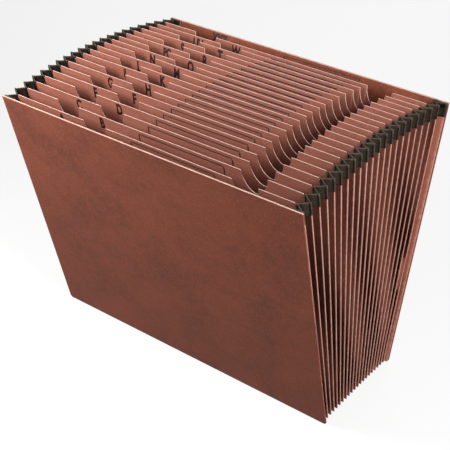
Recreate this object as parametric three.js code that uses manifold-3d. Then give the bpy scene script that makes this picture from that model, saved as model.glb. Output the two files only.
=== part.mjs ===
// Expanding file, standing open like a fan: two board covers, one folded gusset that runs down the left side,
// across the bottom and up the right side, a divider glued behind each inner fold of the gusset but the last,
// and a tape folded over the gusset's top edge on each side.
// Millimetres. +X runs along the covers, +Y from the front cover to the back cover, +Z up, floor at Z = 0.
import * as THREE from "three";
import { mergeVertices } from "three/addons/utils/BufferGeometryUtils.js";
import Module from "manifold-3d";

const wasm = await Module();
wasm.setup();

// Driving dimensions: covers
const COVER_WIDTH = 304;
const COVER_HEIGHT = 256; // along the board's own slope
const COVER_THICKNESS = 1.4;
const COVER_CORNER_RADIUS = 3; // the two bottom corners
const TOP_DEPTH = 227; // between the middles of the covers, at their top edges
const BOTTOM_DEPTH = 110; // the same, at their bottom edges
const BOTTOM_SHIFT = 10; // how far the bottom lies behind the middle of the top

// Driving dimensions: gusset
const PLEAT_COUNT = 21; // inner folds
const PLEAT_LEG = 10; // from an outer ridge to an inner fold, across the paper
const RIDGE_INSET = 2; // outer ridges, in from the covers' edges
const END_RIDGE_INSET = 0.8; // the two ridges beside the covers
const GUSSET_THICKNESS = 0.4;
const COVER_FLANGE = 12; // end of the gusset glued to a cover
const BOTTOM_ARCH = 1; // how far the middle pleats stand above the outer ones, at the bottom
const TOP_ARCH = 7; // the same at the top
const END_SWELL = 0.1; // share by which the end pleats open wider at the top than the middle ones
const BACK_SWELL = 0.07; // share by which the back pleats open wider at the top than the front ones

// Driving dimensions: dividers
const DIVIDER_COUNT = 20; // one at each inner fold, from the front
const DIVIDER_THICKNESS = 0.5;
const DIVIDER_FLANGE = 5; // bent edge glued to the gusset
const NOTCH_WIDTH = 24.5;
const NOTCH_DEPTH = 18;
const NOTCH_ROUNDNESS = 1.8; // exponent of the notch's outline, 2 for a half ellipse
const RIGHT_NOTCH_X = 96.5;
const ODD_NOTCH_X = -53.5; // left notch of the first, third, fifth divider and so on
const EVEN_NOTCH_X = -92.5;

// Driving dimensions: tape and glue
const TAPE_HEIGHT = 12.5;
const TAPE_THICKNESS = 0.2;
const GLUE_GAP = 0.3;

const FRONT = 0;
const BACK = 1;
const LEFT = -1;
const RIGHT = 1;
const NOTCH_SEGMENTS = 16;
const WALL_SEGMENTS = 5; // facets up a side wall, whose panels twist a little

// Where the covers stand: seat of the gusset's end from the middle of the cover, at the bottom and at the top.
const BOTTOM_SEAT = COVER_THICKNESS / 2 + GLUE_GAP + GUSSET_THICKNESS / 2;
const TOP_SEAT = BOTTOM_SEAT + TAPE_THICKNESS + GLUE_GAP;

// Lines between the covers are numbered by a share: 0 at the gusset's front end, 1 at its back end.
const ridgeShare = (k) => k / PLEAT_COUNT;
const foldShare = (k) => (k - 0.5) / PLEAT_COUNT;

function topY(share) {
  const u = 2 * share - 1;
  const place = u + END_SWELL * (u ** 3 - u) - BACK_SWELL * (1 - u * u);
  return (place * (TOP_DEPTH - 2 * TOP_SEAT)) / 2;
}

function bottomY(share) {
  return (share - 0.5) * (BOTTOM_DEPTH - 2 * BOTTOM_SEAT) + BOTTOM_SHIFT;
}

// A point of the leaning sheet at a share, at a height counted as on the covers.
function sheetY(share, height) {
  return THREE.MathUtils.lerp(bottomY(share), topY(share), height / COVER_HEIGHT);
}

function sheetZ(share, height) {
  const up = height / COVER_HEIGHT;
  const arch = THREE.MathUtils.lerp(BOTTOM_ARCH, TOP_ARCH, up) * 4 * share * (1 - share);
  const rise = Math.sqrt(COVER_HEIGHT ** 2 - (topY(share) - bottomY(share)) ** 2);
  return arch + rise * up;
}

// Distance of inner fold k from the cover's side edge, at the top and at the bottom corner.
function foldInset(k, lineY) {
  const halfPitch = (lineY(ridgeShare(k)) - lineY(ridgeShare(k - 1))) / 2;
  return RIDGE_INSET + Math.sqrt(PLEAT_LEG ** 2 - halfPitch ** 2);
}

function foldInsetAt(k, height) {
  const corner = foldInset(k, bottomY);
  const along = (height - corner) / (COVER_HEIGHT - corner);
  return THREE.MathUtils.lerp(corner, foldInset(k, topY), along);
}

// The gusset's middle line across the pleats, as points [inset from the cover's edge, y, share].
function pleatLine(lineY) {
  const line = [];
  const add = (inset, share) => line.push({ inset, y: lineY(share), share });
  add(END_RIDGE_INSET + COVER_FLANGE, FRONT);
  add(END_RIDGE_INSET, FRONT);
  for (let k = 1; k <= PLEAT_COUNT; k++) {
    add(foldInset(k, lineY), foldShare(k));
    if (k < PLEAT_COUNT) add(RIDGE_INSET, ridgeShare(k));
  }
  add(END_RIDGE_INSET, BACK);
  add(END_RIDGE_INSET + COVER_FLANGE, BACK);
  return line;
}

// The line moved sideways by a distance, positive to the outside. Folds keep sharp tips, apart from the two
// end ridges, whose outer tips are cut off square.
function offsetLine(line, distance) {
  const normals = line.slice(1).map((point, i) => {
    const direction = new THREE.Vector2(point.inset - line[i].inset, point.y - line[i].y).normalize();
    return new THREE.Vector2(-direction.y, direction.x);
  });
  const moved = (point, normal, scale) => ({
    inset: point.inset + normal.x * scale,
    y: point.y + normal.y * scale,
    share: point.share,
  });
  return line.flatMap((point, i) => {
    const before = normals[Math.max(i - 1, 0)];
    const after = normals[Math.min(i, normals.length - 1)];
    const endRidge = i === 1 || i === line.length - 2;
    if (endRidge && distance > 0) return [moved(point, before, distance), moved(point, after, distance)];
    const mitre = before.clone().add(after).divideScalar(1 + before.dot(after));
    return [moved(point, mitre, distance)];
  });
}

// Closed outline of a layer around the middle line, out to a distance on both sides.
function pleatOutline(lineY, distance) {
  const line = pleatLine(lineY);
  return [...offsetLine(line, distance), ...offsetLine(line, -distance).reverse()];
}

// Places of an outline's points on one side wall: at the bottom corner, and at a height up to the top.
function cornerRing(side, outline) {
  return outline.map(({ inset, y, share }) => {
    const lean = sheetY(share, inset) - bottomY(share);
    return new THREE.Vector3(side * (COVER_WIDTH / 2 - inset), y + lean, sheetZ(share, inset));
  });
}

function wallRing(side, distance, height) {
  const low = cornerRing(side, pleatOutline(bottomY, distance));
  return pleatOutline(topY, distance).map(({ inset, y, share }, i) => {
    const high = new THREE.Vector3(side * (COVER_WIDTH / 2 - inset), y, sheetZ(share, COVER_HEIGHT));
    const along = (sheetZ(share, height) - low[i].z) / (high.z - low[i].z);
    return low[i].clone().lerp(high, along);
  });
}

// A closed solid through rings of equally many points, capped by the flat outline's triangles.
function loft(rings, outline) {
  const count = outline.length;
  const last = (rings.length - 1) * count;
  const index = [];
  const anticlockwise = THREE.ShapeUtils.area(outline) > 0;
  for (const [a, b, c] of THREE.ShapeUtils.triangulateShape(outline, [])) {
    const turned = THREE.ShapeUtils.area([outline[a], outline[b], outline[c]]) > 0 !== anticlockwise;
    const [p, q] = turned ? [c, b] : [b, c];
    index.push(a, q, p, last + a, last + p, last + q);
  }
  for (let low = 0; low < last; low += count) {
    for (let i = 0; i < count; i++) {
      const next = (i + 1) % count;
      index.push(low + i, low + next, low + count + next);
      index.push(low + i, low + count + next, low + count + i);
    }
  }
  const points = rings.flat();
  if (enclosedVolume(points, index) < 0) index.reverse();
  const geometry = new THREE.BufferGeometry();
  geometry.setFromPoints(points);
  geometry.setIndex(index);
  return geometry;
}

function enclosedVolume(points, index) {
  let volume = 0;
  for (let i = 0; i < index.length; i += 3) {
    const [a, b, c] = [points[index[i]], points[index[i + 1]], points[index[i + 2]]];
    volume += a.dot(b.clone().cross(c)) / 6;
  }
  return volume;
}

function toSolid(geometry) {
  const bare = new THREE.BufferGeometry();
  bare.setAttribute("position", geometry.getAttribute("position"));
  bare.setIndex(geometry.index);
  const merged = mergeVertices(bare, 1e-4);
  return new wasm.Manifold(
    new wasm.Mesh({
      numProp: 3,
      vertProperties: merged.attributes.position.array,
      triVerts: new Uint32Array(merged.index.array),
    }),
  );
}

function toGeometry(solid) {
  const { vertProperties, triVerts } = solid.getMesh();
  const geometry = new THREE.BufferGeometry();
  geometry.setAttribute("position", new THREE.BufferAttribute(vertProperties, 3));
  geometry.setIndex(new THREE.BufferAttribute(triVerts, 1));
  return geometry;
}

// A board with two rounded bottom corners, sheared so that it leans while its bottom edge lies on the floor.
function coverGeometry(end) {
  const middleBottom = (end - 0.5) * BOTTOM_DEPTH + BOTTOM_SHIFT;
  const middleTop = (end - 0.5) * TOP_DEPTH;
  const lean = middleTop - middleBottom;
  const rise = Math.sqrt(COVER_HEIGHT ** 2 - lean ** 2);
  const thicknessAlongY = (COVER_THICKNESS * COVER_HEIGHT) / rise;
  const half = COVER_WIDTH / 2;
  const radius = COVER_CORNER_RADIUS;
  const board = new THREE.Shape();
  board.moveTo(-half + radius, 0);
  board.lineTo(half - radius, 0);
  board.absarc(half - radius, radius, radius, -Math.PI / 2, 0, false);
  board.lineTo(half, rise);
  board.lineTo(-half, rise);
  board.absarc(-half + radius, radius, radius, Math.PI, 1.5 * Math.PI, false);
  const geometry = new THREE.ExtrudeGeometry(board, {
    depth: thicknessAlongY,
    bevelEnabled: false,
    curveSegments: 5,
  });
  geometry.translate(0, 0, -thicknessAlongY / 2);
  geometry.rotateX(Math.PI / 2);
  const leaning = new THREE.Matrix4().makeShear(0, 0, 0, 0, 0, lean / rise);
  geometry.applyMatrix4(leaning);
  geometry.translate(0, middleBottom, 0);
  return geometry;
}

// Heights that end the facets of a wall between two heights.
function steps(low, high) {
  return Array.from({ length: WALL_SEGMENTS }, (_, i) => low + ((high - low) * (i + 1)) / WALL_SEGMENTS);
}

// The whole gusset is one folded strip: down the left wall, across the bottom, up the right wall.
function gussetGeometry() {
  const distance = GUSSET_THICKNESS / 2;
  const top = COVER_HEIGHT - TAPE_THICKNESS - GLUE_GAP;
  const outline = pleatOutline(topY, distance).map(({ inset, y }) => new THREE.Vector2(inset, y));
  const wall = (side) => {
    const rings = [cornerRing(side, pleatOutline(bottomY, distance))];
    for (const height of steps(0, top)) rings.push(wallRing(side, distance, height));
    return rings;
  };
  return loft([...wall(LEFT).reverse(), ...wall(RIGHT)], outline);
}

// A tape folded over the gusset's top edge on one side: a sleeve round the pleats, minus the gusset's room.
function tapeGeometry(side) {
  const room = GUSSET_THICKNESS / 2 + GLUE_GAP;
  const layer = (distance, low, high) => {
    const outline = pleatOutline(topY, distance).map(({ inset, y }) => new THREE.Vector2(side * -inset, y));
    return toSolid(loft([wallRing(side, distance, low), wallRing(side, distance, high)], outline));
  };
  const low = COVER_HEIGHT - TAPE_HEIGHT;
  const sleeve = layer(room + TAPE_THICKNESS, low, COVER_HEIGHT);
  const inside = layer(room, low - TAPE_THICKNESS, COVER_HEIGHT - TAPE_THICKNESS);
  return toGeometry(sleeve.subtract(inside));
}

// Half outline of a divider at a height, from the bent flange's end to the bend: the flange lies on the inner
// side of the panel that runs from inner fold k out to ridge k, clear of it by the glue gap.
function flangeLine(k, height, clearance) {
  const fold = { inset: foldInsetAt(k, height), y: sheetY(foldShare(k), height) };
  const ridge = { inset: RIDGE_INSET, y: sheetY(ridgeShare(k), height) };
  const panel = new THREE.Vector2(ridge.inset - fold.inset, ridge.y - fold.y).normalize();
  const inward = new THREE.Vector2(panel.y, -panel.x);
  const bend = new THREE.Vector2(fold.inset + clearance / panel.y, fold.y);
  const end = new THREE.Vector2(fold.inset, fold.y).addScaledVector(panel, DIVIDER_FLANGE);
  end.addScaledVector(inward, clearance);
  return { bend, end, panel, inward };
}

function dividerOutline(k, height, clearance) {
  const { bend, end, panel, inward } = flangeLine(k, height, clearance);
  const half = DIVIDER_THICKNESS / 2;
  const slant = (1 + panel.x) / panel.y;
  const edge = (sign) => {
    const bendCorner = { inset: bend.x + sign * half * slant, y: bend.y + sign * half };
    const endCorner = { inset: end.x + sign * half * inward.x, y: end.y + sign * half * inward.y };
    return [endCorner, bendCorner];
  };
  const [frontEnd, frontBend] = edge(-1);
  const [backEnd, backBend] = edge(1);
  const at = (side, { inset, y }) => new THREE.Vector2(side * (COVER_WIDTH / 2 - inset), y);
  const rightHalf = [at(RIGHT, frontBend), at(RIGHT, frontEnd), at(RIGHT, backEnd), at(RIGHT, backBend)];
  const leftHalf = [at(LEFT, backBend), at(LEFT, backEnd), at(LEFT, frontEnd), at(LEFT, frontBend)];
  return [...rightHalf, ...leftHalf];
}

// Cutter for a thumb notch: half a rounded outline that is open at the divider's top edge.
function notchCutter(k, centreX) {
  const share = foldShare(k);
  const top = sheetZ(share, COVER_HEIGHT);
  const outline = new THREE.Shape();
  const halfWidth = NOTCH_WIDTH / 2;
  outline.moveTo(centreX + halfWidth, top + NOTCH_DEPTH);
  for (let i = 0; i <= NOTCH_SEGMENTS; i++) {
    const angle = (Math.PI * i) / NOTCH_SEGMENTS;
    const across = Math.sign(Math.cos(angle)) * Math.abs(Math.cos(angle)) ** (2 / NOTCH_ROUNDNESS);
    const down = Math.sin(angle) ** (2 / NOTCH_ROUNDNESS);
    outline.lineTo(centreX + halfWidth * across, top - NOTCH_DEPTH * down);
  }
  outline.lineTo(centreX - halfWidth, top + NOTCH_DEPTH);
  const reach = NOTCH_DEPTH; // longer than the divider leans over the notch's depth
  const geometry = new THREE.ExtrudeGeometry(outline, { depth: 2 * reach, bevelEnabled: false });
  geometry.rotateX(Math.PI / 2);
  geometry.translate(0, sheetY(share, COVER_HEIGHT) + reach, 0);
  return toSolid(geometry);
}

// A divider: a flat sheet with a bent flange down each side, and two thumb notches in its top edge.
function dividerGeometry(k) {
  const share = foldShare(k);
  const nearBottom = foldInset(k, bottomY);
  const tip = (GUSSET_THICKNESS / 2) * (PLEAT_LEG / (sheetY(share, 0) - sheetY(ridgeShare(k - 1), 0)));
  const low = nearBottom + tip + GLUE_GAP;
  const glued = GUSSET_THICKNESS / 2 + GLUE_GAP + DIVIDER_THICKNESS / 2;
  const taped = glued + TAPE_THICKNESS + GLUE_GAP;
  const outlineAt = (height) => {
    const clearance = THREE.MathUtils.lerp(glued, taped, height / COVER_HEIGHT);
    return dividerOutline(k, height, clearance);
  };
  const rings = [low, ...steps(low, COVER_HEIGHT)].map((height) =>
    outlineAt(height).map((point) => new THREE.Vector3(point.x, point.y, sheetZ(share, height))),
  );
  let solid = toSolid(loft(rings, outlineAt(COVER_HEIGHT)));
  const leftNotch = k % 2 === 1 ? ODD_NOTCH_X : EVEN_NOTCH_X;
  for (const centreX of [leftNotch, RIGHT_NOTCH_X]) solid = solid.subtract(notchCutter(k, centreX));
  return toGeometry(solid);
}

const board = { color: 0x8f5240, roughness: 0.85, metalness: 0 };
const sheet = { color: 0xb4705c, roughness: 0.85, metalness: 0 };
const pleats = { color: 0x6b3c31, roughness: 0.85, metalness: 0 };
const tape = { color: 0x2f2a22, roughness: 0.7, metalness: 0 };

const file = new THREE.Group();

function addPiece(name, geometry, finish) {
  const mesh = new THREE.Mesh(geometry, new THREE.MeshStandardMaterial(finish));
  mesh.name = name;
  file.add(mesh);
}

addPiece("front_cover", coverGeometry(FRONT), board);
addPiece("back_cover", coverGeometry(BACK), board);
addPiece("gusset", gussetGeometry(), pleats);
addPiece("tape_left", tapeGeometry(LEFT), tape);
addPiece("tape_right", tapeGeometry(RIGHT), tape);
for (let k = 1; k <= DIVIDER_COUNT; k++) {
  addPiece(`divider_${String(k).padStart(2, "0")}`, dividerGeometry(k), sheet);
}

export default file;
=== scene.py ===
import math

import bmesh
import bpy
import numpy as np
from mathutils import Euler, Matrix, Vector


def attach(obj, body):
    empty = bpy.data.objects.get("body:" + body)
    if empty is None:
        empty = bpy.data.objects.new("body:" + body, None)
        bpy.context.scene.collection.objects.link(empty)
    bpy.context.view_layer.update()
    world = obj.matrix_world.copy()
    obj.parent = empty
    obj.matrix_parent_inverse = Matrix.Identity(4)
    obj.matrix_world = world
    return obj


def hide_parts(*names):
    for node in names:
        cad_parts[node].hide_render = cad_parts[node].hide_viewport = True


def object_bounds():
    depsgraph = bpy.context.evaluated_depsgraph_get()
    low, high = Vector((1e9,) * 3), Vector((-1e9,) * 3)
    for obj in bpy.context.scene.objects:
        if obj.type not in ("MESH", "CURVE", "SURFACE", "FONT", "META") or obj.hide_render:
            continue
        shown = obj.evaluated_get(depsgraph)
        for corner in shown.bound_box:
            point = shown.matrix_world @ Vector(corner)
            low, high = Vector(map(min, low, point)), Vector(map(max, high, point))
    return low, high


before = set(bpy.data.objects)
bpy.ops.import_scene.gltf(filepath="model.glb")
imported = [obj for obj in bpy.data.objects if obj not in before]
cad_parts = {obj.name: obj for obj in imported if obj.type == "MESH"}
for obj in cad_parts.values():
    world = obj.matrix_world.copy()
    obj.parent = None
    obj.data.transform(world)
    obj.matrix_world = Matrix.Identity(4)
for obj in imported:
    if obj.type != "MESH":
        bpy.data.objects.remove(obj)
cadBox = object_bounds()
scene = bpy.context.scene
mm = 0.001

# The driving sizes of the solids, in millimetres
fileForm = {
    "coverWidth": 304,
    "coverHeight": 256,  # along the board's own slope
    "coverThickness": 1.4,
    "coverCorner": 3,
    "topDepth": 227,
    "bottomDepth": 110,
    "bottomShift": 10,
    "pleats": 21,
    "dividers": 20,  # one behind each inner fold but the last
    "pleatLeg": 10,
    "ridgeInset": 2,
    "endRidgeInset": 0.8,
    "paper": 0.4,
    "coverFlange": 12,
    "bottomArch": 1,
    "topArch": 7,
    "endSwell": 0.1,
    "backSwell": 0.07,
    "glueGap": 0.3,
    "tapePaper": 0.2,
}
halfWidth = fileForm["coverWidth"] / 2
fullHeight = fileForm["coverHeight"]
bottomSeat = fileForm["coverThickness"] / 2 + fileForm["glueGap"] + fileForm["paper"] / 2
topSeat = bottomSeat + fileForm["tapePaper"] + fileForm["glueGap"]


# Sheets between the covers are placed by a share: 0 at the gusset's front end, 1 at its back end
def ridgeShare(k):
    return k / fileForm["pleats"]


def foldShare(k):
    return (k - 0.5) / fileForm["pleats"]


def topLine(share):
    u = 2 * share - 1
    place = u + fileForm["endSwell"] * (u**3 - u) - fileForm["backSwell"] * (1 - u * u)
    return place * (fileForm["topDepth"] - 2 * topSeat) / 2


def bottomLine(share):
    return (share - 0.5) * (fileForm["bottomDepth"] - 2 * bottomSeat) + fileForm["bottomShift"]


def sheetRise(share):
    return np.sqrt(fullHeight**2 - (topLine(share) - bottomLine(share)) ** 2)


def sheetY(share, height):
    return bottomLine(share) + (topLine(share) - bottomLine(share)) * height / fullHeight


def sheetZ(share, height):
    up = height / fullHeight
    arch = fileForm["bottomArch"] + (fileForm["topArch"] - fileForm["bottomArch"]) * up
    return arch * 4 * share * (1 - share) + sheetRise(share) * up


print("frame loaded")

# Camera, as fitted to the covers' corners and the ridge lines of the photograph
cameraSetting = {
    "place": (0.48202, -0.66946, 0.63421),
    "turn": (58.208, -1.793, 36.677),
    "lens": 85.19,
    "sensor": 36,
}


def makeCamera():
    data = bpy.data.cameras.new("photoCamera")
    data.lens = cameraSetting["lens"]
    data.sensor_width = cameraSetting["sensor"]
    camera = bpy.data.objects.new("photoCamera", data)
    camera.location = cameraSetting["place"]
    camera.rotation_euler = Euler([math.radians(a) for a in cameraSetting["turn"]])
    scene.collection.objects.link(camera)
    scene.camera = camera


makeCamera()
print("camera made")


# Small helpers for node trees and materials
def addNode(tree, kind, inputs=None, **settings):
    node = tree.nodes.new(kind)
    for name, value in settings.items():
        setattr(node, name, value)
    for name, value in (inputs or {}).items():
        socket = node.inputs[name]
        if isinstance(value, bpy.types.NodeSocket):
            tree.links.new(value, socket)
        else:
            socket.default_value = value
    return node


def newGroup(name, inputs, outputs):
    group = bpy.data.node_groups.new(name, "ShaderNodeTree")
    for label, kind, value in inputs:
        socket = group.interface.new_socket(name=label, in_out="INPUT", socket_type=kind)
        socket.default_value = value
    for label, kind in outputs:
        group.interface.new_socket(name=label, in_out="OUTPUT", socket_type=kind)
    source = group.nodes.new("NodeGroupInput")
    target = group.nodes.new("NodeGroupOutput")
    return group, source.outputs, target.inputs


# The colour sockets of a Mix node are its inputs 6 and 7 and its output 2
def mixColour(tree, factor, first, second):
    node = addNode(tree, "ShaderNodeMix", data_type="RGBA")
    for index, value in ((0, factor), (6, first), (7, second)):
        if isinstance(value, bpy.types.NodeSocket):
            tree.links.new(value, node.inputs[index])
        else:
            node.inputs[index].default_value = value
    return node.outputs[2]


# A Map Range node takes its value first, then the range it comes in, then the range it goes to
def spread(tree, value, low, high, newLow=0.0, newHigh=1.0):
    node = addNode(tree, "ShaderNodeMapRange", {0: value, 1: low, 2: high, 3: newLow, 4: newHigh})
    return node.outputs[0]


def combine(tree, operation, *values):
    return addNode(tree, "ShaderNodeMath", dict(enumerate(values)), operation=operation).outputs[0]


def addNoise(tree, place, scale, detail, roughness=0.5, distortion=0.0):
    inputs = {"Vector": place, "Scale": scale, "Detail": detail}
    inputs |= {"Roughness": roughness, "Distortion": distortion}
    return addNode(tree, "ShaderNodeTexNoise", inputs).outputs["Fac"]


def newMaterial(name):
    material = bpy.data.materials.new(name)
    material.use_nodes = True
    tree = material.node_tree
    return material, tree, tree.nodes["Principled BSDF"]


# Fibre paper: broad mottling, small clouds, loose fibres and a pebbled face
fibreLook = {
    "mottleRange": (0.35, 0.68),
    "cloudFineness": 9.0,  # against the mottling
    "cloudRange": (0.3, 0.72),
    "warmShare": 0.7,
    "fibreScale": 1500.0,
    "fibreTurn": (0.3, 0.7, 0.5),
    "fibreStretch": (1.0, 1.0, 0.22),
    "fleckRange": (0.56, 0.7),
    "fleckColour": (0.75, 0.5, 0.42, 1),
    "fleckCover": 0.5,
    "pebbleScale": 900.0,
    "roughSpread": 0.12,
    "bumpDepth": 0.4 * mm,
    "specular": 0.25,
}


def makeFibrePaper():
    group, given, made = newGroup(
        "fibrePaper",
        [
            ("Base", "NodeSocketColor", (0.36, 0.13, 0.08, 1)),
            ("Deep", "NodeSocketColor", (0.2, 0.07, 0.05, 1)),
            ("Warm", "NodeSocketColor", (0.45, 0.17, 0.07, 1)),
            ("Mottle Scale", "NodeSocketFloat", 20.0),
            ("Mottle Strength", "NodeSocketFloat", 0.6),
            ("Fleck Strength", "NodeSocketFloat", 0.4),
            ("Roughness", "NodeSocketFloat", 0.75),
        ],
        [("Color", "NodeSocketColor"), ("Height", "NodeSocketFloat"), ("Roughness", "NodeSocketFloat")],
    )
    place = addNode(group, "ShaderNodeTexCoord").outputs["Object"]
    broad = addNoise(group, place, given["Mottle Scale"], detail=5.0, roughness=0.62, distortion=0.8)
    finer = combine(group, "MULTIPLY", given["Mottle Scale"], fibreLook["cloudFineness"])
    cloud = addNoise(group, place, finer, detail=4.0, roughness=0.65)
    stretched = addNode(
        group,
        "ShaderNodeMapping",
        {"Vector": place, "Rotation": fibreLook["fibreTurn"], "Scale": fibreLook["fibreStretch"]},
    ).outputs["Vector"]
    fibre = addNoise(group, stretched, fibreLook["fibreScale"], detail=2.0)
    pebble = addNode(
        group, "ShaderNodeTexVoronoi", {"Vector": place, "Scale": fibreLook["pebbleScale"]}
    ).outputs["Distance"]
    broadMask = spread(group, broad, *fibreLook["mottleRange"])
    cloudMask = spread(group, cloud, *fibreLook["cloudRange"])
    deepShare = combine(group, "MULTIPLY", broadMask, given["Mottle Strength"])
    colour = mixColour(group, deepShare, given["Base"], given["Deep"])
    warmMask = combine(group, "MULTIPLY", cloudMask, given["Mottle Strength"])
    warmShare = combine(group, "MULTIPLY", warmMask, fibreLook["warmShare"])
    colour = mixColour(group, warmShare, colour, given["Warm"])
    fleckMask = spread(group, fibre, *fibreLook["fleckRange"])
    fleckShare = combine(group, "MULTIPLY", fleckMask, given["Fleck Strength"])
    pale = mixColour(group, fibreLook["fleckCover"], colour, fibreLook["fleckColour"])
    group.links.new(mixColour(group, fleckShare, colour, pale), made["Color"])
    pebbled = combine(group, "ADD", pebble, fibre)
    group.links.new(combine(group, "ADD", pebbled, cloud), made["Height"])
    rough = combine(group, "MULTIPLY_ADD", cloudMask, fibreLook["roughSpread"], given["Roughness"])
    group.links.new(rough, made["Roughness"])
    return group


# Edge wear and painted highlight: a paler colour, with a ragged border, where the piece's own attribute for
# it is high. On the boards' edges and the dividers' top edges it is rubbed wear; on the gusset's outer
# ridges, the tape's outer ridges and the tape's fold over the top it is painted highlight
wearAndHighlightLook = {"raggedScale": 260.0, "raggedness": 0.5}


def makeEdgeWearAndHighlight():
    group, given, made = newGroup(
        "edgeWearAndHighlight",
        [
            ("Color", "NodeSocketColor", (0.4, 0.2, 0.15, 1)),
            ("Worn And Highlight Color", "NodeSocketColor", (0.7, 0.45, 0.38, 1)),
            ("Amount", "NodeSocketFloat", 0.8),
            ("Start", "NodeSocketFloat", 0.5),
        ],
        [("Color", "NodeSocketColor")],
    )
    wearAndHighlight = addNode(group, "ShaderNodeAttribute", attribute_name="wearAndHighlight").outputs["Fac"]
    place = addNode(group, "ShaderNodeTexCoord").outputs["Object"]
    ragged = addNoise(group, place, wearAndHighlightLook["raggedScale"], detail=3.0)
    raggedness = wearAndHighlightLook["raggedness"]
    shift = combine(group, "MULTIPLY_ADD", ragged, raggedness, -raggedness / 2)
    uneven = combine(group, "ADD", wearAndHighlight, shift)
    mask = spread(group, uneven, given["Start"], 1.0, 0.0, given["Amount"])
    group.links.new(mixColour(group, mask, given["Color"], given["Worn And Highlight Color"]), made["Color"])
    return group


fibrePaper = makeFibrePaper()
edgeWearAndHighlight = makeEdgeWearAndHighlight()

paperFinishes = {
    "coverBoard": {
        "Base": (0.236, 0.058, 0.030, 1),
        "Deep": (0.110, 0.026, 0.014, 1),
        "Warm": (0.310, 0.079, 0.036, 1),
        "Mottle Scale": 17.0,
        "Mottle Strength": 0.9,
        "Fleck Strength": 0.25,
        "Roughness": 0.62,
        "wornAndHighlit": (0.80, 0.50, 0.40, 1),
        "wearAndHighlightAmount": 0.95,
        "bump": 0.25,
    },
    "gussetPaper": {
        "Base": (0.400, 0.128, 0.086, 1),
        "Deep": (0.265, 0.078, 0.054, 1),
        "Warm": (0.460, 0.155, 0.096, 1),
        "Mottle Scale": 30.0,
        "Mottle Strength": 0.5,
        "Fleck Strength": 0.3,
        "Roughness": 0.7,
        # paler colour along the outer ridges: painted highlight of the rounded folds
        "wornAndHighlit": (0.74, 0.44, 0.36, 1),
        "wearAndHighlightAmount": 0.95,
        "bump": 0.2,
    },
    "dividerSheet": {
        "Base": (0.350, 0.122, 0.082, 1),
        "Deep": (0.225, 0.072, 0.048, 1),
        "Warm": (0.400, 0.140, 0.086, 1),
        "Mottle Scale": 26.0,
        "Mottle Strength": 0.45,
        "Fleck Strength": 0.3,
        "Roughness": 0.7,
        "wornAndHighlit": (0.84, 0.58, 0.50, 1),
        "wearAndHighlightAmount": 0.9,
        "bump": 0.2,
    },
    "cutEdge": {
        "Base": (0.86, 0.60, 0.52, 1),
        "Deep": (0.70, 0.44, 0.36, 1),
        "Warm": (0.88, 0.63, 0.54, 1),
        "Mottle Scale": 80.0,
        "Mottle Strength": 0.5,
        "Fleck Strength": 0.5,
        "Roughness": 0.8,
        "wornAndHighlit": (0.76, 0.52, 0.44, 1),
        "wearAndHighlightAmount": 0.4,
        "bump": 0.3,
    },
}


def makePaper(name):
    finish = paperFinishes[name]
    material, tree, shader = newMaterial(name)
    paper = addNode(tree, "ShaderNodeGroup", node_tree=fibrePaper)
    for label in ("Base", "Deep", "Warm", "Mottle Scale", "Mottle Strength", "Fleck Strength", "Roughness"):
        paper.inputs[label].default_value = finish[label]
    wornAndHighlit = addNode(
        tree,
        "ShaderNodeGroup",
        {"Color": paper.outputs["Color"], "Worn And Highlight Color": finish["wornAndHighlit"], "Amount": finish["wearAndHighlightAmount"]},
        node_tree=edgeWearAndHighlight,
    )
    tree.links.new(wornAndHighlit.outputs["Color"], shader.inputs["Base Color"])
    tree.links.new(paper.outputs["Roughness"], shader.inputs["Roughness"])
    shader.inputs["Specular IOR Level"].default_value = fibreLook["specular"]
    bump = addNode(
        tree,
        "ShaderNodeBump",
        {"Height": paper.outputs["Height"], "Strength": finish["bump"], "Distance": fibreLook["bumpDepth"]},
    )
    tree.links.new(bump.outputs["Normal"], shader.inputs["Normal"])
    return material


tapeFinish = {
    "cloth": (0.014, 0.009, 0.005, 1),
    "thread": (0.038, 0.027, 0.016, 1),
    # paler colour of the tape's fold over the top and of its outer ridges: painted highlight
    "wornAndHighlit": (0.17, 0.135, 0.10, 1),
    "wearAndHighlightAmount": 0.7,
    "weaveScale": 1400.0,
    "threadRange": (0.5, 0.75),
    "wrinkleScale": 160.0,
    "wrinkleRange": (0.45, 0.8),
    "wrinkleStrength": 0.6,
    "roughness": 0.8,
    "specular": 0.2,
    "bump": 0.4,
    "bumpDepth": 0.4 * mm,
}


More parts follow.
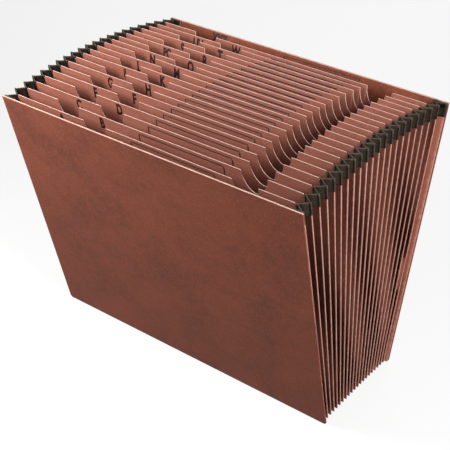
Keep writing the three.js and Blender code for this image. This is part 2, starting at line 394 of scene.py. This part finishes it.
def makeTapeCloth():
    material, tree, shader = newMaterial("edgeTape")
    place = addNode(tree, "ShaderNodeTexCoord").outputs["Object"]
    wrinkle = addNoise(tree, place, tapeFinish["wrinkleScale"], detail=4.0)
    thread = addNoise(tree, place, tapeFinish["weaveScale"], detail=2.0)
    threadMask = spread(tree, thread, *tapeFinish["threadRange"])
    wrinkleMask = spread(tree, wrinkle, *tapeFinish["wrinkleRange"], 0.0, tapeFinish["wrinkleStrength"])
    cloth = mixColour(tree, threadMask, tapeFinish["cloth"], tapeFinish["thread"])
    mottled = mixColour(tree, wrinkleMask, cloth, tapeFinish["thread"])
    wornAndHighlit = addNode(
        tree,
        "ShaderNodeGroup",
        {"Color": mottled, "Worn And Highlight Color": tapeFinish["wornAndHighlit"], "Amount": tapeFinish["wearAndHighlightAmount"]},
        node_tree=edgeWearAndHighlight,
    )
    tree.links.new(wornAndHighlit.outputs["Color"], shader.inputs["Base Color"])
    shader.inputs["Roughness"].default_value = tapeFinish["roughness"]
    shader.inputs["Specular IOR Level"].default_value = tapeFinish["specular"]
    height = combine(tree, "ADD", wrinkle, thread)
    bump = addNode(
        tree,
        "ShaderNodeBump",
        {"Height": height, "Strength": tapeFinish["bump"], "Distance": tapeFinish["bumpDepth"]},
    )
    tree.links.new(bump.outputs["Normal"], shader.inputs["Normal"])
    return material


inkFinish = {
    "dark": (0.008, 0.004, 0.004, 1),
    "thin": (0.028, 0.013, 0.010, 1),
    "patchScale": 900.0,
    "patchRange": (0.5, 0.75),
    "roughness": 0.5,
}


def makeInk():
    material, tree, shader = newMaterial("printInk")
    place = addNode(tree, "ShaderNodeTexCoord").outputs["Object"]
    patchy = addNoise(tree, place, inkFinish["patchScale"], detail=3.0)
    thinShare = spread(tree, patchy, *inkFinish["patchRange"])
    ink = mixColour(tree, thinShare, inkFinish["dark"], inkFinish["thin"])
    tree.links.new(ink, shader.inputs["Base Color"])
    shader.inputs["Roughness"].default_value = inkFinish["roughness"]
    return material


coverBoard = makePaper("coverBoard")
gussetPaper = makePaper("gussetPaper")
dividerSheet = makePaper("dividerSheet")
cutEdge = makePaper("cutEdge")
edgeTape = makeTapeCloth()
printInk = makeInk()
print("materials made")


# A closed sheet between two grids of points, given in millimetres: front and back faces, and a rim round
# them. The rim takes the second material, and the fourth argument is a number from 0 to 1 for each point of
# the grid: how far it takes the paler colour of rubbed wear and painted highlight.
def closedSheet(name, front, back, wearAndHighlight, materials):
    rows, columns = wearAndHighlight.shape
    count = rows * columns
    points = np.concatenate([front.reshape(-1, 3), back.reshape(-1, 3)]) * mm
    number = np.arange(count).reshape(rows, columns)
    quads = np.stack(
        [number[:-1, :-1], number[:-1, 1:], number[1:, 1:], number[1:, :-1]], axis=-1
    ).reshape(-1, 4)
    border = np.concatenate([number[0, :-1], number[:-1, -1], number[-1, :0:-1], number[:0:-1, 0]])
    following = np.roll(border, -1)
    rim = np.stack([following, border, border + count, following + count], axis=-1)
    faces = np.concatenate([quads, quads[:, ::-1] + count, rim])
    mesh = bpy.data.meshes.new(name)
    mesh.from_pydata(points.tolist(), [], faces.tolist())
    wornAndHighlit = mesh.attributes.new("wearAndHighlight", "FLOAT", "POINT")
    wornAndHighlit.data.foreach_set("value", np.tile(wearAndHighlight.ravel(), 2).astype(np.float32))
    for material in materials:
        mesh.materials.append(material)
    if len(materials) > 1:
        mesh.polygons.foreach_set("material_index", [0] * (2 * len(quads)) + [1] * len(rim))
    tidy = bmesh.new()
    tidy.from_mesh(mesh)
    bmesh.ops.recalc_face_normals(tidy, faces=tidy.faces)
    tidy.to_mesh(mesh)
    tidy.free()
    mesh.shade_smooth()
    piece = bpy.data.objects.new(name, mesh)
    scene.collection.objects.link(piece)
    return piece


def standFor(piece, slotName, *nodes):
    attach(piece, "root")
    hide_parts(*nodes)


# Covers: leaning boards with two slightly rounded bottom corners, hardly bowed
coverLook = {
    "columns": 48,
    "rows": 40,
    "rowMargin": 0.02,
    "edgeMargin": 1.2,  # width of the worn strip along the edges
    "cornerSteps": 8,
    "cornerGap": 3,  # between a corner's arc and the plain columns
    "sideWear": 0.5,  # against 1 for the top edge
    "bow": 0.5,  # largest waviness of the board
    "bowFade": 30,  # the waviness grows over this width from the side edges inwards
    "swellShare": 0.7,
    "swellTurn": 1.9,
    "swellStart": 0.6,
    "rippleShare": 0.3,
    "rippleWidth": 38,
    "rippleHeight": 52,
    "rippleStart": 0.8,
    "rippleShift": 2.1,  # of the back board against the front one
    "bevel": 0.35,
    "bevelSegments": 2,
    "bevelAngle": 50,
}


# A point of the front board (end 0) or the back board (end 1), so far in front of its middle layer
def coverPoint(end, across, height, inFront):
    look = coverLook
    bottomPlace = (end - 0.5) * fileForm["bottomDepth"] + fileForm["bottomShift"]
    lean = (end - 0.5) * fileForm["topDepth"] - bottomPlace
    rise = math.sqrt(fullHeight**2 - lean**2)
    upFade = np.sin(height / fullHeight * math.pi)
    edgeFade = np.clip((halfWidth - np.abs(across)) / look["bowFade"], 0, 1)
    swell = np.sin(across / halfWidth * look["swellTurn"] + look["swellStart"] + end) * upFade
    rippleAcross = np.sin(across / look["rippleWidth"] + look["rippleShift"] * end)
    rippleUp = np.sin(height / look["rippleHeight"] + look["rippleStart"])
    ripple = rippleAcross * rippleUp * upFade
    bow = look["bow"] * edgeFade * (look["swellShare"] * swell + look["rippleShare"] * ripple)
    y = bottomPlace + lean * height / fullHeight - bow - inFront * fullHeight / rise
    return np.stack([across, y, rise * height / fullHeight], axis=-1)


def coverGrid(end):
    radius = fileForm["coverCorner"]
    arc = radius * (1 - np.cos(np.linspace(0, math.pi / 2, coverLook["cornerSteps"])))
    margin = coverLook["edgeMargin"]
    plainSide = halfWidth - radius - coverLook["cornerGap"]
    middle = np.linspace(-plainSide, plainSide, coverLook["columns"])
    left = -halfWidth + np.sort(np.append(arc, margin))
    x = np.concatenate([left, middle, -left[::-1]])
    inward = np.clip(halfWidth - np.abs(x), 0, radius)
    low = radius - np.sqrt(radius**2 - (radius - inward) ** 2)
    inner = np.linspace(coverLook["rowMargin"], 1 - coverLook["rowMargin"], coverLook["rows"])
    share = np.concatenate([[0, margin / fullHeight], inner, [1 - margin / fullHeight, 1]])
    height = low[None, :] + (fullHeight - low[None, :]) * share[:, None]
    across = np.broadcast_to(x, height.shape)
    half = fileForm["coverThickness"] / 2
    wearAndHighlight = np.zeros_like(height)
    wearAndHighlight[:, [0, -1]] = coverLook["sideWear"]
    wearAndHighlight[0, :] = coverLook["sideWear"]
    wearAndHighlight[-1, :] = 1
    return coverPoint(end, across, height, half), coverPoint(end, across, height, -half), wearAndHighlight


def makeCovers():
    for name, node, end in (("front_board", "front_cover", 0), ("back_board", "back_cover", 1)):
        front, back, wearAndHighlight = coverGrid(end)
        board = closedSheet(name, front, back, wearAndHighlight, [coverBoard])
        bevel = board.modifiers.new("softEdge", "BEVEL")
        bevel.width = coverLook["bevel"] * mm
        bevel.segments = coverLook["bevelSegments"]
        bevel.limit_method = "ANGLE"
        bevel.angle_limit = math.radians(coverLook["bevelAngle"])
        standFor(board, "cover_board", node)


makeCovers()
print("covers made")


# Gusset: one folded sheet, with its folds rounded, round both sides and the bottom
pleatLook = {
    "bottomFoldRadius": 0.22,
    "topFoldRadius": 0.6,
    "foldSteps": 4,
    "foldFade": 0.4,  # how much the painted ridge highlight has faded at the ends of a fold's arc
    "wallRings": 22,
    "wallFoot": 16,  # the lowest plain ring stands just above this, clear of the deepest fold's corner
    "bottomRings": 12,
    "cornerSoftness": 0.6,
    "cornerReach": 10,  # about the wall's length from its corner to that ring
    "ripple": 0.25,
    "rippleHeight": 31,
    "rippleTurns": 17,
}


def foldInset(k, line):
    halfPitch = (line(ridgeShare(k)) - line(ridgeShare(k - 1))) / 2
    return fileForm["ridgeInset"] + math.sqrt(fileForm["pleatLeg"] ** 2 - halfPitch**2)


def bendPoints(line):
    pleats = fileForm["pleats"]
    endInset = fileForm["endRidgeInset"]
    bends = [(endInset + fileForm["coverFlange"], 0.0, 0), (endInset, 0.0, 1)]
    for k in range(1, pleats + 1):
        bends.append((foldInset(k, line), foldShare(k), 0))
        if k < pleats:
            bends.append((fileForm["ridgeInset"], ridgeShare(k), 1))
    bends += [(endInset, 1.0, 1), (endInset + fileForm["coverFlange"], 1.0, 0)]
    return [(np.array([inset, line(share)]), share, ridge) for inset, share, ridge in bends]


# The pleat line at the top or at the bottom corner, with its folds rounded: insets from the covers' edges
# and places along Y, then shares, and how near each point is to an outer ridge
def roundedPleats(line, radius):
    bends = bendPoints(line)
    steps = pleatLook["foldSteps"]
    places, shares, ridges = [bends[0][0]], [bends[0][1]], [0.0]
    for (before, _, _), (bend, share, ridge), (after, _, _) in zip(bends, bends[1:], bends[2:]):
        toBefore = (before - bend) / np.linalg.norm(before - bend)
        toAfter = (after - bend) / np.linalg.norm(after - bend)
        halfAngle = math.acos(np.clip(toBefore @ toAfter, -1, 1)) / 2
        centreWay = (toBefore + toAfter) / np.linalg.norm(toBefore + toAfter)
        centre = bend + centreWay * radius  # so the fold's tip stays in place
        turn = math.pi - 2 * halfAngle
        if toBefore[0] * toAfter[1] - toBefore[1] * toAfter[0] < 0:
            turn = -turn
        for i in range(steps + 1):
            angle = turn * (i / steps - 0.5)
            spun = np.array(
                [
                    centreWay[0] * math.cos(angle) - centreWay[1] * math.sin(angle),
                    centreWay[0] * math.sin(angle) + centreWay[1] * math.cos(angle),
                ]
            )
            places.append(centre - spun * radius)
            shares.append(share)
            ridges.append(ridge * (1 - abs(2 * i / steps - 1) * pleatLook["foldFade"]))
    places.append(bends[-1][0])
    shares.append(bends[-1][1])
    ridges.append(0.0)
    return np.array(places), np.array(shares), np.array(ridges)


def moveSideways(places, distance):
    ahead = np.diff(places, axis=0)
    ahead /= np.linalg.norm(ahead, axis=1)[:, None]
    smooth = np.vstack([ahead[:1], ahead[:-1] + ahead[1:], ahead[-1:]])
    smooth /= np.linalg.norm(smooth, axis=1)[:, None]
    return places + distance * np.stack([-smooth[:, 1], smooth[:, 0]], axis=-1)


bottomPath, pathShare, ridgeNear = roundedPleats(bottomLine, pleatLook["bottomFoldRadius"])
topPath, _, _ = roundedPleats(topLine, pleatLook["topFoldRadius"])


def cornerRing(side, distance):
    path = moveSideways(bottomPath, distance)
    inset = path[:, 0]
    lean = sheetY(pathShare, inset) - bottomLine(pathShare)
    return np.stack([side * (halfWidth - inset), path[:, 1] + lean, sheetZ(pathShare, inset)], axis=-1)


def wallRing(side, distance, height):
    low = cornerRing(side, distance)
    path = moveSideways(topPath, distance)
    high = np.stack([side * (halfWidth - path[:, 0]), path[:, 1], sheetZ(pathShare, fullHeight)], axis=-1)
    along = (sheetZ(pathShare, height) - low[:, 2]) / (high[:, 2] - low[:, 2])
    ring = low + (high - low) * along[:, None]
    wave = np.sin(height / pleatLook["rippleHeight"] + pathShare * pleatLook["rippleTurns"] + side)
    ripple = pleatLook["ripple"] * math.sin(math.pi * height / fullHeight) * wave
    ring[:, 0] += ripple * (1 - ridgeNear)
    return ring


def gussetRings(distance):
    corner = pleatLook["cornerSoftness"]
    top = fullHeight - fileForm["tapePaper"] - fileForm["glueGap"]
    heights = np.linspace(top, pleatLook["wallFoot"] + corner, pleatLook["wallRings"])

    def wall(side):
        rings = [wallRing(side, distance, height) for height in heights]
        sharp = cornerRing(side, distance)
        above = sharp + (rings[-1] - sharp) * (corner / pleatLook["cornerReach"])
        inward = sharp.copy()
        inward[:, 0] -= side * corner
        eased = 0.25 * above + 0.5 * sharp + 0.25 * inward  # the middle of the soft bend
        return rings + [above, eased, inward]

    left = wall(-1)
    right = wall(1)
    between = []
    for i in range(1, pleatLook["bottomRings"]):
        share = i / pleatLook["bottomRings"]
        between.append(left[-1] * (1 - share) + right[-1] * share)
    return np.array(left + between + right[::-1])


def makeGusset():
    half = fileForm["paper"] / 2
    front = gussetRings(half)
    back = gussetRings(-half)
    # The outer ridges take the paler colour: a painted highlight along the rounded folds
    wearAndHighlight = np.tile(ridgeNear, (front.shape[0], 1))
    wearAndHighlight[[0, -1], :] = 1
    gusset = closedSheet("pleated_gusset", front, back, wearAndHighlight, [gussetPaper, cutEdge])
    standFor(gusset, "gusset_paper", "gusset")


makeGusset()
print("gusset made")


# Tapes: cloth folded over the gusset's top edge, hugging every pleat
tapeLook = {
    "height": 12.5,
    "thickness": 0.2,
    "air": 0.06,
    "sideSteps": 6,
    "crownSteps": 6,
    "crownLift": 0.1,  # the fold starts this far above the paper's top edge
    "crownShape": 0.8,  # height of the fold against its half width
    # paler tone of the fold over the top: painted highlight
    "crownHighlight": 0.8,
    # paler tone over the outer ridges: painted highlight
    "ridgeHighlight": 0.75,
}


def tapeSection(distance):
    low = fullHeight - tapeLook["height"]
    crown = fullHeight - tapeLook["thickness"] - fileForm["glueGap"] + tapeLook["crownLift"]
    section = [(distance, height) for height in np.linspace(low, crown, tapeLook["sideSteps"])]
    for i in range(1, tapeLook["crownSteps"]):
        angle = math.pi * i / tapeLook["crownSteps"]
        rise = distance * tapeLook["crownShape"] * math.sin(angle)
        section.append((distance * math.cos(angle), crown + rise))
    section += [(-distance, height) for height in np.linspace(crown, low, tapeLook["sideSteps"])]
    return section


def makeTapes():
    inner = fileForm["paper"] / 2 + tapeLook["air"]
    crownStart = tapeLook["sideSteps"] - 1
    for name, node, side in (("left_tape", "tape_left", -1), ("right_tape", "tape_right", 1)):
        skin = [
            np.array([wallRing(side, across, height) for across, height in tapeSection(distance)])
            for distance in (inner + tapeLook["thickness"], inner)
        ]
        wearAndHighlight = np.zeros(skin[0].shape[:2])
        # The fold over the top takes the paler colour: a painted highlight
        wearAndHighlight[crownStart:-crownStart, :] = tapeLook["crownHighlight"]
        # The outer ridges take the paler colour too: a painted highlight
        wearAndHighlight = np.maximum(wearAndHighlight, tapeLook["ridgeHighlight"] * ridgeNear[None, :])
        tape = closedSheet(name, skin[0], skin[1], wearAndHighlight, [edgeTape])
        standFor(tape, "edge_tape", node)


makeTapes()
print("tapes made")


# Dividers: thin sheets with bent flanges, thumb notches and a slight wave of their own
dividerLook = {
    "thickness": 0.5,
    "flange": 5,
    "flangeDrop": 2,  # the flange ends this far below the sheet's top edge
    "bendSoftness": 0.8,
    "flatStart": 3.5,  # from the bend to the flat sheet's first column
    "bottomClearance": 0.5,  # between the middle of the gusset and the middle of the flange
    "topClearance": 0.85,
    "cornerClearance": 1.3,
    "notchWidth": 24.5,
    "notchDepth": 18,
    "notchRoundness": 1.8,
    "notchSteps": 22,
    "notchMargin": 1.5,  # plain columns keep this far from a notch
    "notchShoulder": 1.2,
    "rightNotch": 96.5,
    "oddNotch": -53.5,
    "evenNotch": -92.5,
    "flatSide": 132,  # the sheet's columns run straight up between these places
    "columns": 34,
    "rows": 14,
    "rowGathering": 1.6,  # the rows lie closer together towards the top
    "edgeStrip": 0.7,  # height of the worn strip along the top edge
    "wave": 0.7,
    "waveMargin": 12,
    "waveFade": 50,
    "longWave": (46, 2.4, 0.6),  # length, shift from sheet to sheet, and share of the wave
    "shortWave": (23, 1.7, 0.25),
    "tallWave": (60, 0.9, 0.3),
}


def sheetWave(k, across, height):
    longLength, longShift, longShare = dividerLook["longWave"]
    shortLength, shortShift, shortShare = dividerLook["shortWave"]
    tallLength, tallShift, tallShare = dividerLook["tallWave"]
    share = height / fullHeight
    inward = halfWidth - dividerLook["waveMargin"] - np.abs(across)
    fade = np.clip(inward / dividerLook["waveFade"], 0, 1)
    long = np.sin(across / longLength + longShift * k) * longShare
    short = np.sin(across / shortLength + shortShift * k * k) * shortShare
    tall = np.sin(height / tallLength + tallShift * k) * tallShare
    return dividerLook["wave"] * fade * share**2 * (long + short + tall)


def notchPlaces(k):
    left = dividerLook["oddNotch"] if k % 2 else dividerLook["evenNotch"]
    return [left, dividerLook["rightNotch"]]


def notchDip(k, across):
    dip = np.zeros_like(across)
    roundness = dividerLook["notchRoundness"]
    for centre in notchPlaces(k):
        part = np.clip(np.abs(across - centre) / (dividerLook["notchWidth"] / 2), 0, 1)
        dip += dividerLook["notchDepth"] * (1 - part**roundness) ** (1 / roundness)
    return dip


def sheetColumns(k):
    side = dividerLook["flatSide"]
    columns = list(np.linspace(-side, side, dividerLook["columns"]))
    reach = dividerLook["notchWidth"] / 2
    shoulder = reach + dividerLook["notchShoulder"]
    for centre in notchPlaces(k):
        columns = [x for x in columns if abs(x - centre) > reach + dividerLook["notchMargin"]]
        angles = np.linspace(0, math.pi, dividerLook["notchSteps"] + 1)
        columns += list(centre - reach * np.cos(angles))
        columns += [centre - shoulder, centre + shoulder]
    return np.array(sorted(columns))


def foldInsetAt(k, height):
    corner = foldInset(k, bottomLine)
    return corner + (foldInset(k, topLine) - corner) * (height - corner) / (fullHeight - corner)


# One side of a divider's section at a height, from the flange's end to the flat sheet, as (inset, y)
def flangeSection(k, height, clearance):
    fold = np.array([foldInsetAt(k, height), sheetY(foldShare(k), height)])
    ridge = np.array([fileForm["ridgeInset"], sheetY(ridgeShare(k), height)])
    panel = (ridge - fold) / np.linalg.norm(ridge - fold)
    inward = np.array([panel[1], -panel[0]])
    bend = np.array([fold[0] + clearance / panel[1], fold[1]])
    end = fold + panel * dividerLook["flange"] + inward * clearance
    way = (end - bend) / np.linalg.norm(end - bend)
    flat = np.array([1.0, 0.0])
    softness = dividerLook["bendSoftness"]
    return [
        end,
        (end + bend) / 2,
        bend + way * softness,
        bend + (way + flat) * softness / 4,
        bend + flat * softness,
        bend + flat * dividerLook["flatStart"],
    ]


def makeDivider(k):
    share = foldShare(k)
    half = dividerLook["thickness"] / 2
    low = foldInset(k, bottomLine) + dividerLook["cornerClearance"]
    lowClearance = dividerLook["bottomClearance"]
    moreAbove = dividerLook["topClearance"] - lowClearance
    columns = sheetColumns(k)
    dip = notchDip(k, columns) * fullHeight / sheetRise(share)
    rowShares = 1 - (1 - np.linspace(0, 1, dividerLook["rows"])) ** dividerLook["rowGathering"]
    rowShares = np.sort(np.append(rowShares, 1 - dividerLook["edgeStrip"] / (fullHeight - low)))
    middle, normals = [], []
    for rowShare in rowShares:
        side = low + (fullHeight - low) * rowShare
        section = flangeSection(k, side, lowClearance + moreAbove * side / fullHeight)
        dropped = side - dividerLook["flangeDrop"] * rowShare
        flangeHeights = [dropped] * 3 + [side] * 3  # the flange's points come first in its section
        edge = [(halfWidth - inset, y, z) for (inset, y), z in zip(section, flangeHeights)]
        height = low + (fullHeight - dip - low) * rowShare
        flat = np.stack([columns, sheetY(share, height) + sheetWave(k, columns, height), height], axis=-1)
        right = np.array(edge[::-1])
        left = np.array(edge) * [-1, 1, 1]
        row = np.vstack([left, flat, right])
        ahead = np.gradient(row[:, :2], axis=0)
        ahead /= np.linalg.norm(ahead, axis=1)[:, None]
        points = np.stack([row[:, 0], row[:, 1], sheetZ(share, row[:, 2])], axis=-1)
        middle.append(points)
        normals.append(np.stack([ahead[:, 1], -ahead[:, 0], np.zeros(len(row))], axis=-1))
    middle = np.array(middle)
    normals = np.array(normals)
    wearAndHighlight = np.zeros(middle.shape[:2])
    wearAndHighlight[-1, :] = 1
    name = f"divider_sheet_{k:02d}"
    sheet = closedSheet(name, middle + half * normals, middle - half * normals, wearAndHighlight, [dividerSheet, cutEdge])
    standFor(sheet, "divider_sheet", f"divider_{k:02d}")


for k in range(1, fileForm["dividers"] + 1):
    makeDivider(k)
print("dividers made")

# Index letters on the dividers' front faces and on the back board, standing proud by the ink alone
letterLook = {
    "labels": "A B C D E F G H IJ K L M N O PQ R S T UV W XYZ".split(),
    "capHeight": 10.5,
    "narrowing": 0.64,
    "boldness": 0.045,
    "oddPlace": -91,
    "evenPlace": -56,
    "belowEdge": 1.6,
    "ink": 0.04,
    "sunk": 0.02,  # the letters' backs lie this deep in the sheet
    "curveSteps": 6,
}


def letterMesh(label):
    curve = bpy.data.curves.new("label", "FONT")
    curve.body = label
    curve.align_x = "CENTER"
    curve.align_y = "BOTTOM_BASELINE"
    curve.size = 1
    curve.offset = letterLook["boldness"]
    curve.extrude = 0.5  # only tells front from back, for the true depth is set with the place
    curve.resolution_u = letterLook["curveSteps"]
    holder = bpy.data.objects.new("label", curve)
    scene.collection.objects.link(holder)
    mesh = bpy.data.meshes.new_from_object(holder.evaluated_get(bpy.context.evaluated_depsgraph_get()))
    bpy.data.objects.remove(holder)
    return mesh


# Puts a point of the k-th printed face in place: across, height along the sheet, and depth in front of it.
# The face after the last divider's is the back board's.
def facePoint(k, across, height, proud):
    if k > fileForm["dividers"]:
        return coverPoint(1, across, height, fileForm["coverThickness"] / 2 + proud) * mm
    share = foldShare(k)
    front = dividerLook["thickness"] / 2 + proud
    y = sheetY(share, height) + sheetWave(k, across, height) - front
    return np.stack([across, y, sheetZ(share, height)], axis=-1) * mm


def makeLetters():
    joined = bmesh.new()
    for k, label in enumerate(letterLook["labels"], start=1):
        mesh = letterMesh(label)
        points = np.array([v.co for v in mesh.vertices])
        capSize = points[:, 1].max() - points[:, 1].min()
        scale = letterLook["capHeight"] / capSize
        centre = letterLook["oddPlace"] if k % 2 else letterLook["evenPlace"]
        across = centre + points[:, 0] * scale * letterLook["narrowing"]
        top = fullHeight - letterLook["belowEdge"]
        height = top - (points[:, 1].max() - points[:, 1]) * scale
        proud = np.where(points[:, 2] > 0, letterLook["ink"], -letterLook["sunk"])
        placed = facePoint(k, across, height, proud)
        for vertex, point in zip(mesh.vertices, placed):
            vertex.co = point
        joined.from_mesh(mesh)
        bpy.data.meshes.remove(mesh)
    bmesh.ops.recalc_face_normals(joined, faces=joined.faces)
    mesh = bpy.data.meshes.new("index_letters")
    joined.to_mesh(mesh)
    joined.free()
    mesh.materials.append(printInk)
    letters = bpy.data.objects.new("index_letters", mesh)
    scene.collection.objects.link(letters)
    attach(letters, "root")


makeLetters()
print("letters printed")

# Printed frames: a Geometry Nodes tree sweeps a flat line of ink along the frames' routes
frameLook = {
    "left": -16,
    "right": 68,
    "lastRight": 65,
    "belowEdge": 3.3,
    "height": 14,
    "lineWidth": 1.1,
    "ink": 0.05,
    "step": 4,
}


def frameRoutes():
    mesh = bpy.data.meshes.new("frameRoutes")
    points, edges = [], []
    top = fullHeight - frameLook["belowEdge"]
    low = top - frameLook["height"]
    left = frameLook["left"]
    for k in range(1, fileForm["dividers"] + 2):
        right = frameLook["lastRight"] if k > fileForm["dividers"] else frameLook["right"]
        corners = [(left, top), (right, top), (right, low), (left, low)]
        first = len(points)
        for (x0, h0), (x1, h1) in zip(corners, corners[1:] + corners[:1]):
            count = max(1, round(math.hypot(x1 - x0, h1 - h0) / frameLook["step"]))
            for i in range(count):
                across = np.array(x0 + (x1 - x0) * i / count)
                height = np.array(h0 + (h1 - h0) * i / count)
                points.append(facePoint(k, across, height, 0.0))
        last = len(points)
        edges += [(i, i + 1) for i in range(first, last - 1)] + [(last - 1, first)]
    mesh.from_pydata(points, edges, [])
    return mesh


def printedLineTree():
    tree = bpy.data.node_groups.new("printedLine", "GeometryNodeTree")
    face = tree.interface
    face.new_socket(name="Geometry", in_out="INPUT", socket_type="NodeSocketGeometry")
    width = face.new_socket(name="Line Width", in_out="INPUT", socket_type="NodeSocketFloat")
    depth = face.new_socket(name="Ink Depth", in_out="INPUT", socket_type="NodeSocketFloat")
    ink = face.new_socket(name="Ink", in_out="INPUT", socket_type="NodeSocketMaterial")
    face.new_socket(name="Geometry", in_out="OUTPUT", socket_type="NodeSocketGeometry")
    given = tree.nodes.new("NodeGroupInput").outputs
    result = tree.nodes.new("NodeGroupOutput").inputs
    route = addNode(tree, "GeometryNodeMeshToCurve", {"Mesh": given["Geometry"]}).outputs["Curve"]
    upright = addNode(
        tree, "GeometryNodeSetCurveNormal", {"Curve": route, "Normal": (0.0, -1.0, 0.0)}, mode="FREE"
    ).outputs["Curve"]
    profile = addNode(
        tree,
        "GeometryNodeCurvePrimitiveQuadrilateral",
        {"Width": given["Ink Depth"], "Height": given["Line Width"]},
        mode="RECTANGLE",
    ).outputs["Curve"]
    swept = addNode(
        tree, "GeometryNodeCurveToMesh", {"Curve": upright, "Profile Curve": profile, "Fill Caps": True}
    ).outputs["Mesh"]
    real = addNode(tree, "GeometryNodeRealizeInstances", {"Geometry": swept}).outputs["Geometry"]
    inked = addNode(
        tree, "GeometryNodeSetMaterial", {"Geometry": real, "Material": given["Ink"]}
    ).outputs["Geometry"]
    tree.links.new(inked, result["Geometry"])
    return tree, {"width": width.identifier, "depth": depth.identifier, "ink": ink.identifier}


def makeFrames():
    routes = bpy.data.objects.new("frameRoutes", frameRoutes())
    scene.collection.objects.link(routes)
    tree, sockets = printedLineTree()
    sweep = routes.modifiers.new("printedLine", "NODES")
    sweep.node_group = tree
    sweep[sockets["width"]] = frameLook["lineWidth"] * mm
    sweep[sockets["depth"]] = 2 * frameLook["ink"] * mm
    sweep[sockets["ink"]] = printInk
    bpy.context.view_layer.update()
    mesh = bpy.data.meshes.new_from_object(routes.evaluated_get(bpy.context.evaluated_depsgraph_get()))
    bpy.data.objects.remove(routes)
    frames = bpy.data.objects.new("printed_frames", mesh)
    scene.collection.objects.link(frames)
    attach(frames, "root")


makeFrames()
print("frames printed")

# Floor, world and lamps
studio = {
    "floorReach": 6.0,
    "floorTone": 0.2,
    "floorRoughness": 0.9,
    "floorLight": 0.8,  # added for the camera alone, so that the lit floor shows white
    "worldLight": 0.12,
    "keyPlace": (-0.31, -0.32, 0.44),
    "keySize": 0.25,
    "keyPower": 2.8,
    "fillPlace": (0.95, -0.34, 0.68),
    "fillSize": 0.4,
    "fillPower": 12,
    "backPlace": (-0.3, 1.3, 0.9),
    "backSize": 0.8,
    "backPower": 5,
}


# 1 for the rays that should see the pale background: the camera's, and those of gloss and of clear things
def seenRays(tree):
    rays = addNode(tree, "ShaderNodeLightPath").outputs
    seen = combine(tree, "MAXIMUM", rays["Is Camera Ray"], rays["Is Glossy Ray"])
    return combine(tree, "MAXIMUM", seen, rays["Is Transmission Ray"])


def makeFloor():
    reach = studio["floorReach"]
    corners = [(-reach, -reach, 0), (reach, -reach, 0), (reach, reach, 0), (-reach, reach, 0)]
    mesh = bpy.data.meshes.new("floor")
    mesh.from_pydata(corners, [], [(0, 1, 2, 3)])
    floor = bpy.data.objects.new("floor", mesh)
    scene.collection.objects.link(floor)
    material, tree, shader = newMaterial("paleFloor")
    shader.inputs["Base Color"].default_value = (studio["floorTone"],) * 3 + (1,)
    shader.inputs["Roughness"].default_value = studio["floorRoughness"]
    shader.inputs["Specular IOR Level"].default_value = 0.0
    shader.inputs["Emission Color"].default_value = (1, 1, 1, 1)
    glow = combine(tree, "MULTIPLY", seenRays(tree), studio["floorLight"])
    tree.links.new(glow, shader.inputs["Emission Strength"])
    mesh.materials.append(material)


def makeWorld():
    world = bpy.data.worlds.new("studioWorld")
    scene.world = world
    world.use_nodes = True
    tree = world.node_tree
    background = tree.nodes["Background"]
    background.inputs["Color"].default_value = (1, 1, 1, 1)
    strength = spread(tree, seenRays(tree), 0.0, 1.0, studio["worldLight"], 1.0)
    tree.links.new(strength, background.inputs["Strength"])


def makeLamp(name, place, size, power):
    lamp = bpy.data.lights.new(name, "AREA")
    lamp.shape = "DISK"
    lamp.size = size
    lamp.energy = power
    holder = bpy.data.objects.new(name, lamp)
    holder.location = place
    aim = (cadBox[0] + cadBox[1]) / 2 - holder.location
    holder.rotation_euler = aim.to_track_quat("-Z", "Y").to_euler()
    scene.collection.objects.link(holder)


makeFloor()
makeWorld()
for lamp in ("key", "fill", "back"):
    makeLamp(f"{lamp}Lamp", studio[f"{lamp}Place"], studio[f"{lamp}Size"], studio[f"{lamp}Power"])
scene.view_settings.view_transform = "Standard"
print("studio made")

bpy.context.view_layer.update()
